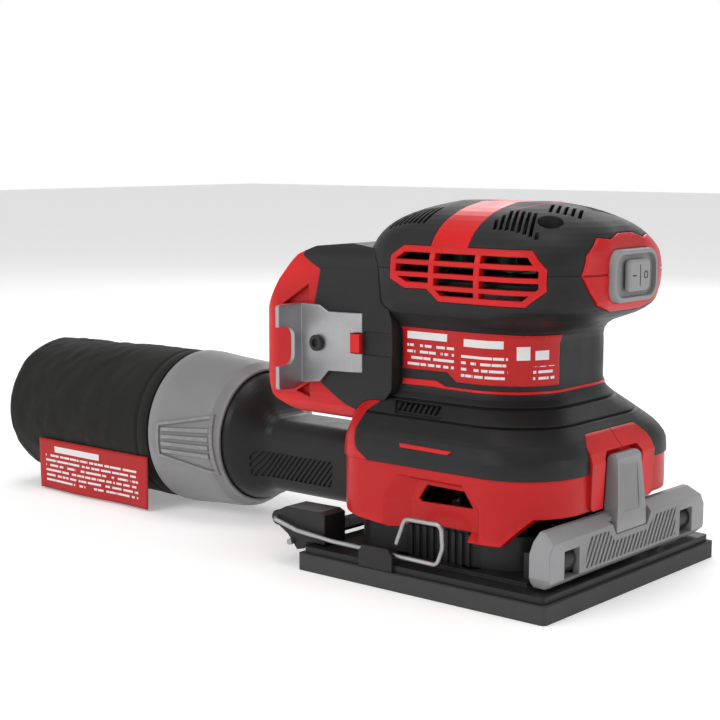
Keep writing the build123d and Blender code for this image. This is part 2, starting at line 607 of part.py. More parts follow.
JAW_CHEEK = [(-43.5, 19.4), (-46, 20.4), (-62, 20.2), (-66, 18.2), (-68.6, 16), (-66, 13.2),
             (-61, 10.4), (-56.6, 5.4), (-53.4, 6.2), (-51.4, 9), (-43.5, 9)]


def rear_clamp_jaw():
    """Black jaw: a cheek at each side and a low plate that passes under the spout."""
    cheek = side_prism(JAW_CHEEK, -50, -39) + along_y(REAR_PIVOT_X, -50, -39, REAR_PIVOT_Z, 2.7)
    hollow = side_prism([(-48, 19), (-61, 18.8), (-58, 12), (-48, 11)], -47.5, -30)
    cheek = cheek - hollow - along_y(REAR_PIVOT_X, -60, -30, REAR_PIVOT_Z, WIRE_R + RUN)
    plate = block((-62.5, -52.4), (-39.5, 39.5), (8.8, 9.8))
    clearance = along_y(ROD_X, -34.4, -29.6, ROD_Z, 3) + block((-60, -50), (-34.4, -29.6), (5, 10.5))
    bridge = block((-65, -62), (-41, 41), (8.8, 9.8)) + both_sides(block((-65, -61), (-41.5, -39), (8.8, 14)))
    jaw = both_sides(cheek) + plate + bridge - both_sides(clearance)
    return jaw - along_y(ROD_X, -60, 60, ROD_Z, ROD_R)


def rear_clamp_wire():
    """Wire lever: a stub in the jaw's hem, the arm, and the finger loop."""
    points = [(REAR_PIVOT_X, -40, REAR_PIVOT_Z), (REAR_PIVOT_X, WIRE_Y, REAR_PIVOT_Z),
              (-55, WIRE_Y, 13), (-38, WIRE_Y, 11.7), (7.5, WIRE_Y, 11.2), (9.8, WIRE_Y, 17),
              (9.2, WIRE_Y, 24.9), (-6, WIRE_Y, 24.7), (-9.6, WIRE_Y, 15.6)]
    return bent_rod(points, [1.6, 6, 12, 2.4, 5, 2.4, 2.6], WIRE_R)


# ---- Dust collection ----------------------------------------------------------------------------
def dust_port():
    """Socket in the base's rear that takes the spout."""
    port = port_form(PORT_REAR + 2, PORT_FRONT, DUCT_WALL) - port_form(-70, -20, 0.35)
    lip = port_form(PORT_REAR + 2, -48, DUCT_WALL + 0.8) - port_form(-70, -20, 0.35)
    return port + lip


FLARE_X = (-103.0, -119.0)
SPOUT_REAR, SPOUT_MOUTH_R = -131.0, 25.4


def spout_form(depth):
    """The spout's form: the duct's section swelling smoothly to a round mouth."""
    sections = [tube_section(SPOUT_FRONT, DUCT_Z, DUCT_HALF_Y - depth, DUCT_HALF_Z - depth, DUCT_CORNER - depth)]
    for i in range(13):
        part = i / 12
        swell = part * part * (3 - 2 * part)
        start = (DUCT_Z, DUCT_HALF_Y, DUCT_HALF_Z, DUCT_CORNER)
        end = (BAG_Z, SPOUT_MOUTH_R, SPOUT_MOUTH_R, SPOUT_MOUTH_R - 0.2)
        z, half_y, half_z, radius = [a + (b - a) * swell for a, b in zip(start, end)]
        x = FLARE_X[0] + (FLARE_X[1] - FLARE_X[0]) * part
        sections.append(tube_section(x, z, half_y - depth, half_z - depth, radius - depth))
    end_section = tube_section(SPOUT_REAR, BAG_Z, SPOUT_MOUTH_R - depth, SPOUT_MOUTH_R - depth,
                               SPOUT_MOUTH_R - 0.2 - depth)
    return loft(sections + [end_section], ruled=True)


def dust_spout():
    """Black tube that widens from the port to the bag's collar, with slanted grip grooves."""
    spout = spout_form(0) - spout_form(DUCT_WALL)
    grooves = Part()
    for i in range(20):
        grooves += Pos(-112 + 2.4 * i, 0, 24.4) * Rot(0, 40, 0) * Box(1.1, 60, 24)
    grooves = grooves & block((-110, -71), (-60, 60), (19.6, 29.4))
    return spout - (grooves & (spout_form(-1) - spout_form(0.7)))


COLLAR_OUTER = [(COLLAR_FRONT, 26.8), (-123, 29.2), (-125, 29.6), (-138, 30.4), (-150, 31.4), (-154.6, 31.4)]
COLLAR_INNER = [(-155.6, 30.6), (-155.6, 29.4), (-165, 29.4), (-165, 27.4), (-150, 27.2), (-133, 23.6),
                (-131.6, 23.6), (-131.6, 25.9), (COLLAR_FRONT, 25.9)]
FINGER_PAD = [(-149.5, 38), (-121.5, 43.6), (-120.2, 19.6), (-149.5, 24.4)]


def round_about_bag(profile):
    """A form turned about the bag's axis from (x, radius) points."""
    face = make_face(Polyline(*[(x, 0, r) for x, r in profile], close=True))
    return Pos(0, 0, BAG_Z) * revolve(face, Axis.X)


def finger_pads():
    """Raised frame and four ribs on each side of the collar."""
    rim = make_face(Polyline(*FINGER_PAD, close=True))
    frame = extrude(Plane.XZ * (rim - offset(rim, -1.3)), amount=40)
    for i in range(4):
        low = 26.2 + 2.9 * i
        frame += extrude(Plane.XZ * make_face(Polyline((-147, low), (-147, low + 1.5), (-122.5, low + 1.9 + i * 0.5),
                                                       (-122.5, low + i * 0.5), close=True)), amount=40)
    raised = [(x, r + 0.8) for x, r in COLLAR_OUTER]
    return frame & round_about_bag(raised + [(-154.6, 28), (COLLAR_FRONT, 26)])


def bag_collar():
    """Grey collar that slides over the spout and carries the bag."""
    pads = finger_pads()
    return round_about_bag(COLLAR_OUTER + COLLAR_INNER) + pads + mirror(pads, Plane.XZ)


def bag_cloth():
    """Closed form of the cloth bag, with its mouth open to the collar."""
    bag = along_x(BAG_END, BAG_MOUTH - 1.3, 0, BAG_Z, BAG_R)
    bag = fillet(bag.edges().sort_by(Axis.X)[0], 4)
    inside = along_x(BAG_END + 1.1, BAG_MOUTH, 0, BAG_Z, BAG_R - 1.1)
    inside = fillet(inside.edges().sort_by(Axis.X)[0], 2.9)
    return bag - inside


# ---- Hang hook ------------------------------------------------------------------------------------
PLATE_Y = (-38.2, -36.6)
FLANGE_X = (-66.2, -64.6)
HOOK_BEND_X = -41.0
HOOK_SIDE = [(FLANGE_X[1], 63.6), (FLANGE_X[1], 92), (-56.4, 92), (-52, 89.8), (HOOK_BEND_X, 90),
             (HOOK_BEND_X, 69.2), (-52, 68.8), (-56, 64.6)]
FLANGE_FACE = [(PLATE_Y[1], 63.4), (PLATE_Y[1], 92), (-50.2, 92), (-50.2, 62), (-42, 61.6)]


def hang_hook():
    """Bent steel hook: plate on the receptacle, turned-in front end, slotted rear flange."""
    plate = side_prism(HOOK_SIDE, *PLATE_Y)
    slot = block((-70, -60), (-60, -42), (70.2, 84.2))
    slot = fillet(slot.edges().filter_by(Axis.X), 4)
    flange = front_prism(FLANGE_FACE, *FLANGE_X, 1) - slot
    front_end = block((HOOK_BEND_X, -37.2), PLATE_Y, (69.2, 90)) - block((-40, -36), (-45, -30), (75.8, 83.2))
    bend = Pos(HOOK_BEND_X, PLATE_Y[0], 0) * Rot(0, 0, 24) * Pos(-HOOK_BEND_X, -PLATE_Y[0], 0)
    hook = plate + flange + bend * front_end
    hook = hook - block(KEY_TAB[0], (-40, -30), (KEY_TAB[1][0] - 0.3, KEY_TAB[1][1] + 0.3))
    return hook - along_y(HOOK_SCREW[0], -45, -30, HOOK_SCREW[1], 2.1) - RECEPT


def screw(place, direction, head_r, head_height, shank_r, shank_length, drive_r=1.6):
    """A pan-head screw with a hexagonal drive recess; direction points out of its head."""
    head = Pos(0, 0, head_height / 2) * Cylinder(head_r, head_height)
    head = fillet(head.edges().sort_by(Axis.Z)[-1], min(0.8, head_height / 3))
    shank = Pos(0, 0, -shank_length / 2) * Cylinder(shank_r, shank_length)
    recess = Pos(0, 0, head_height * 0.4) * extrude(RegularPolygon(drive_r, 6), amount=head_height)
    return Plane(origin=place, z_dir=direction) * (head + shank - recess)


def terminal_block():
    """Black block in the socket's inner end, with slots for the blades."""
    form = block((-56, SOCKET_FRONT), (-20, 20), (70, 92))
    form = chamfer(form.edges().group_by(Axis.X)[0], 1.2)
    for y in BLADE_PLACES:
        form = form - block((-60, -50), (y - 0.5, y + 0.5), (76, 90))
    return form


def terminal_blades():
    blades = Part()
    for y in BLADE_PLACES:
        blades += block((-63, -50), (y - 0.4, y + 0.4), (78, 88))
    return blades


def battery_leads():
    """Two leads from the terminal block through the housing's rear wall up to the board."""
    leads = Part()
    for y in LEAD_PLACES:
        leads += bent_rod([(SOCKET_FRONT, y, 85), (LEAD_X, y, 85), (LEAD_X, y, 106.2)], [5], 1.1)
    return leads


def rotor_parts():
    armature = ring(0, 0, 63, 90, 16.8, SHAFT_R)
    for i in range(12):
        armature = armature - upright(16.6 * cos(radians(30 * i)), 16.6 * sin(radians(30 * i)), 62, 91, 1.3)
    return {
        "rotor_shaft": upright(0, 0, 18, 105, SHAFT_R),
        "armature": armature,
        "commutator": ring(0, 0, 91, 96, 5.5, SHAFT_R),
        "cooling_fan": fan(),
        "eccentric": eccentric(),
        "journal_screw": screw((ORBIT, 0, 14.2), (0, 0, -1), 4.0, 2.2, 1.8, 3.6, 1.5),
    }


def motor_parts():
    brush = block((-2, 2), (5.6, 13), (91.6, 95.4))
    holder = block((-3, 3), (13, 18.6), (91, 96)) & upright(0, 0, 80, 100, MOTOR_R - 1.7)
    bearing_plate = ring(0, 0, 51, 54.4, 30, 11) - both_sides(upright(0, 21, 50, 56, 5))
    return {
        "motor_can": motor_can(),
        "motor_magnets": motor_magnets(),
        "carbon_brushes": both_sides(brush),
        "brush_holders": both_sides(holder),
        "upper_bearing": ring(0, 0, 99.2, 104, 8, SHAFT_R + RUN),
        "lower_bearing": ring(0, 0, 50, 57, 11, SHAFT_R + RUN),
        "bearing_plate": bearing_plate,
        "fan_baffle": fan_baffle(),
        "head_frame": head_frame(),
        "control_board": control_board(),
        "switch_module": block(SWITCH_X, (-8.5, 8.5), (99, 113)),
    }


def housing_parts():
    shell = housing()
    soft = grip()
    return {
        "housing_right": shell_half(shell, RIGHT_SIDE),
        "housing_left": shell_half(shell, LEFT_SIDE),
        "grip_right": soft & RIGHT_SIDE,
        "grip_left": soft & LEFT_SIDE,
        "head_cap": head_cap(),
        "vent_saddle": vent_saddle(),
        "switch_bezel": switch_bezel(),
        "switch_boot": switch_boot(),
        "switch_rocker": switch_rocker(),
        "accent_stripes": accents(),
        "rating_label": rating_label(),
    }


def battery_parts():
    return {
        "battery_housing": battery_housing(),
        "battery_grip": battery_grip(),
        "terminal_block": terminal_block(),
        "terminal_blades": terminal_blades(),
        "battery_leads": battery_leads(),
        "hang_hook": hang_hook(),
        "hook_screw": screw((HOOK_SCREW[0], PLATE_Y[0], HOOK_SCREW[1]), (0, -1, 0), 2.9, 1.8, 1.5, 6),
    }


def platen_parts():
    posts = Part()
    for x, y in POSTS:
        posts += upright(x, y, 9.6, 34.3, 4.4)
    screws = Part()
    for x, y in [(-20, 22), (-20, -22), (20, 22), (20, -22)]:
        screws += screw((x, y, 9.6), (0, 0, 1), 3.0, 1.8, 1.5, 3.4)
    base = platen()
    for x, y in [(-20, 22), (-20, -22), (20, 22), (20, -22)]:
        base = base - upright(x, y, 5, 12, 1.5)
    return {
        "platen": base,
        "platen_pad": platen_pad(),
        "platen_posts": posts,
        "platen_screws": screws,
        "dust_skirt": dust_skirt(),
        "orbit_bearing": ring(ORBIT, 0, 15, 23, ORBIT_BEARING_R, JOURNAL_R + RUN),
        "front_clamp_lever": front_clamp_lever(),
        "front_clamp_drums": front_clamp_drums(),
        "rear_clamp_jaw": rear_clamp_jaw(),
        "rear_clamp_rod": along_y(ROD_X, -51.6, 51.6, ROD_Z, ROD_R),
        "rear_clamp_wire": rear_clamp_wire(),
    }


def dust_parts():
    return {
        "dust_port": dust_port(),
        "dust_spout": dust_spout(),
        "bag_collar": bag_collar(),
        "bag_cloth": bag_cloth(),
        "bag_end_plate": along_x(BAG_END + 4.2, BAG_END + 5.7, 0, BAG_Z, BAG_R - 1.6),
        "bag_tag": block((-226, -157), (-30.1, -29.5), (0.9, 22.6)),
    }


def fasteners():
    shell_screws = Part()
    for x, z in SHELL_SCREWS:
        shell_screws += screw((x, SCREW_SEAT_Y, z), (0, 1, 0), 2.8, 2, 1.5, 26)
    cap_screws = Part()
    for x, y in CAP_SCREWS:
        cap_screws += screw((x, y, CAP_SCREW_SEAT), (0, 0, 1), 3.2, 2.2, 1.5, 10)
    return {"housing_screws": shell_screws, "cap_screws": cap_screws}


GROUPS = [platen_parts, dust_parts, rotor_parts, motor_parts, battery_parts, fasteners, housing_parts]

os.makedirs("parts", exist_ok=True)
for group in GROUPS:
    for piece_name, piece in group().items():
        save(piece_name, piece)
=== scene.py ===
"""Looks of the cordless palm sander: camera, light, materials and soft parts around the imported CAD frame."""

import json
import math

import bpy
import bmesh
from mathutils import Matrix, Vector, noise


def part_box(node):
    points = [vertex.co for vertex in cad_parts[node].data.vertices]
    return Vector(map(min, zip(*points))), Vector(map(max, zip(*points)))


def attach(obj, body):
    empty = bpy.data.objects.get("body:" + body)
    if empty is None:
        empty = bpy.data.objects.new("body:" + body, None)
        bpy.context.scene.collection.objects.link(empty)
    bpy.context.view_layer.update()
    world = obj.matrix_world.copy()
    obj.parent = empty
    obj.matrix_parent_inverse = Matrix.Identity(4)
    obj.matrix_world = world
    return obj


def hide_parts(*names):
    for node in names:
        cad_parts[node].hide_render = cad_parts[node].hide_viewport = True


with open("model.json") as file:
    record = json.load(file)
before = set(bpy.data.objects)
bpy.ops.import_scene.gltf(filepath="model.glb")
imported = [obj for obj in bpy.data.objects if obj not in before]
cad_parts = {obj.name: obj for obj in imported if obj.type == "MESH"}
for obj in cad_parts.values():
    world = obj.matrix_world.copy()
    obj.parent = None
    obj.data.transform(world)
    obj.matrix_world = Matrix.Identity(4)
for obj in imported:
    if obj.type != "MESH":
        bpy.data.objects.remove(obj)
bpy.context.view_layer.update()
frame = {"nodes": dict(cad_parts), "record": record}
NODES = frame["nodes"]

# ---- Camera: from the tool's front right, a little above ---------------------------------------
AZIMUTH, ELEVATION = math.radians(40.195), math.radians(7.804)
TARGET = Vector((-0.06951, 0.0, 0.06702))
DISTANCE = 0.59542
LENS_MM, SENSOR_MM = 78.3, 36.0
CLIP_START = 0.01


def make_camera():
    back = Vector((math.sin(AZIMUTH) * math.cos(ELEVATION),
                   -math.cos(AZIMUTH) * math.cos(ELEVATION), math.sin(ELEVATION)))
    data = bpy.data.cameras.new("camera")
    data.lens = LENS_MM
    data.sensor_width = SENSOR_MM
    data.clip_start = CLIP_START
    camera = bpy.data.objects.new("camera", data)
    camera.location = TARGET + back * DISTANCE
    camera.rotation_euler = (-back).to_track_quat("-Z", "Y").to_euler()
    bpy.context.scene.collection.objects.link(camera)
    bpy.context.scene.camera = camera


# ---- Floor and light ---------------------------------------------------------------------------
FLOOR_COLOR, FLOOR_GLOW = (0.93, 0.93, 0.93, 1), 0.27
SKY_HORIZON, SKY_TOP = (1.0, 1.0, 1.0, 1), (0.42, 0.42, 0.42, 1)
SKY_BRIGHT_TO, SKY_DIM_FROM = 0.14, 0.5
FLOOR_REACH, FLOOR_ROUGH = 4.0, 0.7
FIRST_COLOR, SECOND_COLOR, COLOR_OUT = 6, 7, 2   # the colour sockets of a Mix node


def make_floor():
    mesh = bpy.data.meshes.new("floor")
    corners = [(-FLOOR_REACH, -FLOOR_REACH, 0), (FLOOR_REACH, -FLOOR_REACH, 0),
               (FLOOR_REACH, FLOOR_REACH, 0), (-FLOOR_REACH, FLOOR_REACH, 0)]
    mesh.from_pydata(corners, [], [(0, 1, 2, 3)])
    floor = bpy.data.objects.new("floor", mesh)
    bpy.context.scene.collection.objects.link(floor)
    material = bpy.data.materials.new("floor")
    material.use_nodes = True
    shader = material.node_tree.nodes["Principled BSDF"]
    shader.inputs["Base Color"].default_value = FLOOR_COLOR
    shader.inputs["Roughness"].default_value = FLOOR_ROUGH
    shader.inputs["Emission Color"].default_value = (1, 1, 1, 1)
    shader.inputs["Emission Strength"].default_value = FLOOR_GLOW
    mesh.materials.append(material)


def make_world():
    """White light from the horizon, dimmer from above, so that the black parts keep their depth."""
    world = bpy.data.worlds.new("studio")
    world.use_nodes = True
    nodes, links = world.node_tree.nodes, world.node_tree.links
    parts = nodes.new("ShaderNodeSeparateXYZ")
    height = nodes.new("ShaderNodeMapRange")
    shade = nodes.new("ShaderNodeMix")
    shade.data_type = "RGBA"
    height.inputs["From Min"].default_value = SKY_BRIGHT_TO
    height.inputs["From Max"].default_value = SKY_DIM_FROM
    shade.inputs[FIRST_COLOR].default_value = SKY_HORIZON
    shade.inputs[SECOND_COLOR].default_value = SKY_TOP
    links.new(nodes.new("ShaderNodeTexCoord").outputs["Generated"], parts.inputs[0])
    links.new(parts.outputs["Z"], height.inputs["Value"])
    links.new(height.outputs["Result"], shade.inputs[0])
    links.new(shade.outputs[COLOR_OUT], nodes["Background"].inputs["Color"])
    bpy.context.scene.world = world
    bpy.context.scene.view_settings.view_transform = "Standard"


def area_light(name, place, aim, size, power):
    data = bpy.data.lights.new(name, "AREA")
    data.shape = "RECTANGLE"
    data.size, data.size_y = size
    data.energy = power
    light = bpy.data.objects.new(name, data)
    light.location = place
    light.rotation_euler = (Vector(aim) - Vector(place)).to_track_quat("-Z", "Y").to_euler()
    bpy.context.scene.collection.objects.link(light)


def make_lights():
    """Key from the tool's right, a broad top light and weaker strips in front and behind."""
    area_light("key", (-0.35, -1.0, 0.75), (-0.05, 0, 0.06), (0.7, 0.6), 4.6)
    area_light("top", (-0.05, 0.05, 1.1), (-0.05, 0, 0.05), (0.9, 0.5), 3.2)
    area_light("front", (1.0, 0.25, 0.45), (0, 0, 0.08), (0.3, 0.7), 1.6)
    area_light("rim", (-0.4, 0.9, 0.6), (-0.05, 0, 0.08), (0.9, 0.3), 3.2)


# ---- Materials ---------------------------------------------------------------------------------
EDGE_RADIUS = 0.0006
SPECULAR = 0.28
NOISE_LOW, NOISE_HIGH = 0.3, 0.7
WEAR_FROM, WEAR_TO, WORN_TINT = 0.52, 0.60, 1.35


class Tree:
    """A short way to write a material's node tree."""

    def __init__(self, name):
        self.material = bpy.data.materials.new(name)
        self.material.use_nodes = True
        self.nodes = self.material.node_tree.nodes
        self.links = self.material.node_tree.links
        self.shader = self.nodes["Principled BSDF"]
        self.shader.inputs["Specular IOR Level"].default_value = SPECULAR
        self.place = self.add("ShaderNodeTexCoord").outputs["Object"]

    def add(self, kind, **settings):
        node = self.nodes.new(kind)
        for key, value in settings.items():
            setattr(node, key, value)
        return node

    def add_linked(self, kind, socket):
        """A new node whose first input takes the socket."""
        node = self.add(kind)
        self.links.new(socket, node.inputs[0])
        return node

    def feed(self, socket, value):
        if isinstance(value, bpy.types.NodeSocket):
            self.links.new(value, socket)
        else:
            socket.default_value = value

    def noise(self, scale, detail=3.0, roughness=0.55, stretch=None):
        node = self.add("ShaderNodeTexNoise")
        node.inputs["Scale"].default_value = scale
        node.inputs["Detail"].default_value = detail
        node.inputs["Roughness"].default_value = roughness
        vector = self.place
        if stretch:
            mapping = self.add("ShaderNodeMapping")
            mapping.inputs["Scale"].default_value = stretch
            self.links.new(self.place, mapping.inputs["Vector"])
            vector = mapping.outputs["Vector"]
        self.links.new(vector, node.inputs["Vector"])
        return node.outputs["Fac"]

    def span(self, value, low, high, from_low=0.0, from_high=1.0):
        node = self.add("ShaderNodeMapRange")
        self.feed(node.inputs["Value"], value)
        limits = {"From Min": from_low, "From Max": from_high, "To Min": low, "To Max": high}
        for key, number in limits.items():
            node.inputs[key].default_value = number
        return node.outputs["Result"]

    def spread(self, value, low, high):
        """A noise's usual values, spread from low to high."""
        return self.span(value, low, high, NOISE_LOW, NOISE_HIGH)

    def math(self, operation, first, second=0.0):
        node = self.add("ShaderNodeMath", operation=operation)
        self.feed(node.inputs[0], first)
        self.feed(node.inputs[1], second)
        return node.outputs[0]

    def mix(self, factor, first, second):
        node = self.add("ShaderNodeMix", data_type="RGBA")
        self.feed(node.inputs[0], factor)
        self.feed(node.inputs[FIRST_COLOR], first)
        self.feed(node.inputs[SECOND_COLOR], second)
        return node.outputs[COLOR_OUT]

    def bump(self, height, strength, distance):
        """Fine relief over edges that a small bevel softens."""
        edge = self.add("ShaderNodeBevel", samples=4)
        edge.inputs["Radius"].default_value = EDGE_RADIUS
        node = self.add("ShaderNodeBump")
        self.links.new(edge.outputs["Normal"], node.inputs["Normal"])
        node.inputs["Strength"].default_value = strength
        node.inputs["Distance"].default_value = distance
        self.links.new(height, node.inputs["Height"])
        self.links.new(node.outputs["Normal"], self.shader.inputs["Normal"])

    def edge_wear(self):
        """1 on convex edges, 0 elsewhere, from the mesh's pointiness."""
        geometry = self.add("ShaderNodeNewGeometry")
        return self.span(geometry.outputs["Pointiness"], 0, 1, WEAR_FROM, WEAR_TO)


def tint(color, factor):
    return (color[0] * factor, color[1] * factor, color[2] * factor, 1)


def moulded(name, color, rough, grain=2200, depth=0.00003, strength=0.25, vary=0.10, ior=1.46):
    """Moulded plastic or rubber: fine spark-eroded grain, slight mottling, edges worn a little paler."""
    tree = Tree(name)
    mottle = tree.noise(38, 4)
    shade = tree.mix(tree.spread(mottle, 0, 1), tint(color, 1 - vary), tint(color, 1 + vary))
    tree.feed(tree.shader.inputs["Base Color"], tree.mix(tree.edge_wear(), shade, tint(color, WORN_TINT)))
    smudge = tree.noise(85, 5)
    tree.feed(tree.shader.inputs["Roughness"], tree.spread(smudge, rough - 0.06, rough + 0.07))
    tree.shader.inputs["IOR"].default_value = ior
    tree.bump(tree.noise(grain, 2), strength, depth)
    return tree.material


def metal(name, color, rough, stretch, scale=900, strength=0.2):
    """Plated or drawn steel: fine lines along the drawing direction, soft colour drift."""
    tree = Tree(name)
    lines = tree.noise(scale, 4, 0.6, stretch)
    drift = tree.noise(60, 4)
    tree.shader.inputs["Metallic"].default_value = 1.0
    tree.feed(tree.shader.inputs["Base Color"],
              tree.mix(tree.spread(drift, 0, 1), tint(color, 0.86), tint(color, 1.08)))
    tree.feed(tree.shader.inputs["Roughness"], tree.spread(lines, rough - 0.07, rough + 0.1))
    tree.bump(lines, strength, 0.00002)
    return tree.material


def coated(name, color, rough=0.42):
    """Black coated casting or steel: faint orange peel and a soft drift of colour."""
    tree = Tree(name)
    tree.feed(tree.shader.inputs["Base Color"],
              tree.mix(tree.spread(tree.noise(50, 4), 0, 1), tint(color, 0.9), tint(color, 1.15)))
    tree.feed(tree.shader.inputs["Roughness"], tree.spread(tree.noise(150, 4), rough - 0.07, rough + 0.08))
    tree.bump(tree.noise(1100, 3), 0.25, 0.00003)
    return tree.material


def axes(tree):
    """The sockets of a point's x, y and z in the piece's own frame, at rest the shared one."""
    return tree.add_linked("ShaderNodeSeparateXYZ", tree.place).outputs


def between(tree, value, low, high):
    """1 where value lies from low to high, else 0."""
    return tree.math("MULTIPLY", tree.math("GREATER_THAN", value, low), tree.math("LESS_THAN", value, high))


def woven(name, color, pitch, axis_z, radius):
    """Plain-weave cloth wrapped round an axis along X: crossing threads over a cloudy base colour."""
    tree = Tree(name)
    x, y, z = axes(tree)
    turn = tree.math("ARCTAN2", y, tree.math("SUBTRACT", z, axis_z))
    flat = tree.add("ShaderNodeCombineXYZ")
    tree.feed(flat.inputs[0], x)
    tree.feed(flat.inputs[1], tree.math("MULTIPLY", turn, radius))
    threads = []
    for direction in ("X", "Y"):
        wave = tree.add("ShaderNodeTexWave", bands_direction=direction, wave_profile="SIN")
        wave.inputs["Scale"].default_value = math.pi / (10 * pitch)
        wave.inputs["Distortion"].default_value = 0.5
        wave.inputs["Detail"].default_value = 1.0
        tree.links.new(flat.outputs[0], wave.inputs["Vector"])
        threads.append(wave.outputs["Fac"])
    weave = tree.math("MULTIPLY", *threads)
    cloud = tree.noise(34, 5)
    base = tree.mix(tree.span(cloud, 0, 1, 0.35, 0.65), tint(color, 0.8), tint(color, 1.25))
    tree.feed(tree.shader.inputs["Base Color"], tree.mix(tree.span(weave, 0, 0.3), base, tint(color, 1.9)))
    tree.feed(tree.shader.inputs["Roughness"], tree.spread(cloud, 0.8, 0.92))
    tree.shader.inputs["Sheen Weight"].default_value = 0.04
    tree.shader.inputs["Sheen Roughness"].default_value = 0.5
    tree.bump(weave, 0.5, 0.00010)
    return tree.material


LINE_PITCH, LINE_SHARE = 0.00215, 0.42
WORD_SCALE, WORD_STEP, WORD_GAP = 420.0, 7.3, 0.44
PRINT_WHITE = (0.72, 0.70, 0.70, 1)


def text_bars(tree, along, z):
    """Rows of broken plain bars, as blocks of print look from afar, with no lettering."""
    row = tree.math("DIVIDE", z, LINE_PITCH)
    line = tree.math("LESS_THAN", tree.math("FRACT", row), LINE_SHARE)
    cell = tree.add("ShaderNodeCombineXYZ")
    tree.feed(cell.inputs[0], tree.math("MULTIPLY", along, WORD_SCALE))
    tree.feed(cell.inputs[1], tree.math("MULTIPLY", tree.math("FLOOR", row), WORD_STEP))
    words = tree.add("ShaderNodeTexNoise")
    words.inputs["Scale"].default_value = 1.0
    tree.links.new(cell.outputs[0], words.inputs["Vector"])
    return tree.math("MULTIPLY", line, tree.math("GREATER_THAN", words.outputs["Fac"], WORD_GAP))


def printed(name, color, along_of, blocks, boxes, rough=0.34):
    """Red film printed with blocks of plain bars and plain filled boxes."""
    tree = Tree(name)
    x, y, z = axes(tree)
    along = along_of(tree, x, y)
    ink = None
    for left, right, low, high in blocks:
        area = tree.math("MULTIPLY", between(tree, along, left, right), between(tree, z, low, high))
        part = tree.math("MULTIPLY", area, text_bars(tree, along, z))
        ink = part if ink is None else tree.math("MAXIMUM", ink, part)
    for left, right, low, high in boxes:
        area = tree.math("MULTIPLY", between(tree, along, left, right), between(tree, z, low, high))
        ink = tree.math("MAXIMUM", ink, area)
    shade = tree.mix(tree.spread(tree.noise(60, 4), 0, 1), tint(color, 0.95), tint(color, 1.05))
    tree.feed(tree.shader.inputs["Base Color"], tree.mix(ink, shade, PRINT_WHITE))
    tree.feed(tree.shader.inputs["Roughness"], tree.spread(tree.noise(120, 4), rough - 0.05, rough + 0.06))
    tree.bump(tree.noise(1500, 2), 0.08, 0.00002)
    return tree.material


SWOOSH_X, SWOOSH_CURVE, SWOOSH_HALF, SWOOSH_REACH = 0.019, 21.7, 0.00042, 0.0177


def cap_material(color):
    """The cap's soft black, with one thin curved red line before the band."""
    tree = Tree("cap_black")
    x, y, z = axes(tree)
    bend = tree.math("MULTIPLY", tree.math("MULTIPLY", y, y), SWOOSH_CURVE)
    off = tree.math("ABSOLUTE", tree.math("SUBTRACT", tree.math("ADD", x, bend), SWOOSH_X))
    line = tree.math("LESS_THAN", off, SWOOSH_HALF)
    line = tree.math("MULTIPLY", line, between(tree, y, -SWOOSH_REACH, SWOOSH_REACH))
    shade = tree.mix(tree.spread(tree.noise(38, 4), 0, 1), tint(color, 0.9), tint(color, 1.12))
    tree.feed(tree.shader.inputs["Base Color"], tree.mix(line, shade, tint(RED, 1)))
    tree.feed(tree.shader.inputs["Roughness"], tree.spread(tree.noise(85, 5), 0.48, 0.6))
    tree.bump(tree.noise(2600, 2), 0.3, 0.00003)
    return tree.material


RED = (0.47, 0.008, 0.009)
BLACK = (0.0125, 0.0125, 0.013)
GREY = (0.215, 0.215, 0.22)
BAG_LOW, BAG_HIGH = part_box("bag_cloth")
BAG_AXIS_Z = (BAG_LOW.z + BAG_HIGH.z) / 2
BAG_RADIUS = (BAG_HIGH.y - BAG_LOW.y) / 2
TAG_LOW, TAG_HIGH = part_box("bag_tag")

# The print on the rating label: (left, right, low, high), counted along x + y, round the neck.
LABEL_BLOCKS = [(-0.053, -0.033, 0.0722, 0.0808), (-0.030, -0.010, 0.0700, 0.0795),
                (0.002, 0.013, 0.0705, 0.0755)]
LABEL_BOXES = [(-0.053, -0.036, 0.0822, 0.0848), (-0.029, -0.012, 0.0812, 0.0838),
               (-0.006, 0.0005, 0.0775, 0.0820), (0.003, 0.010, 0.0775, 0.0806)]


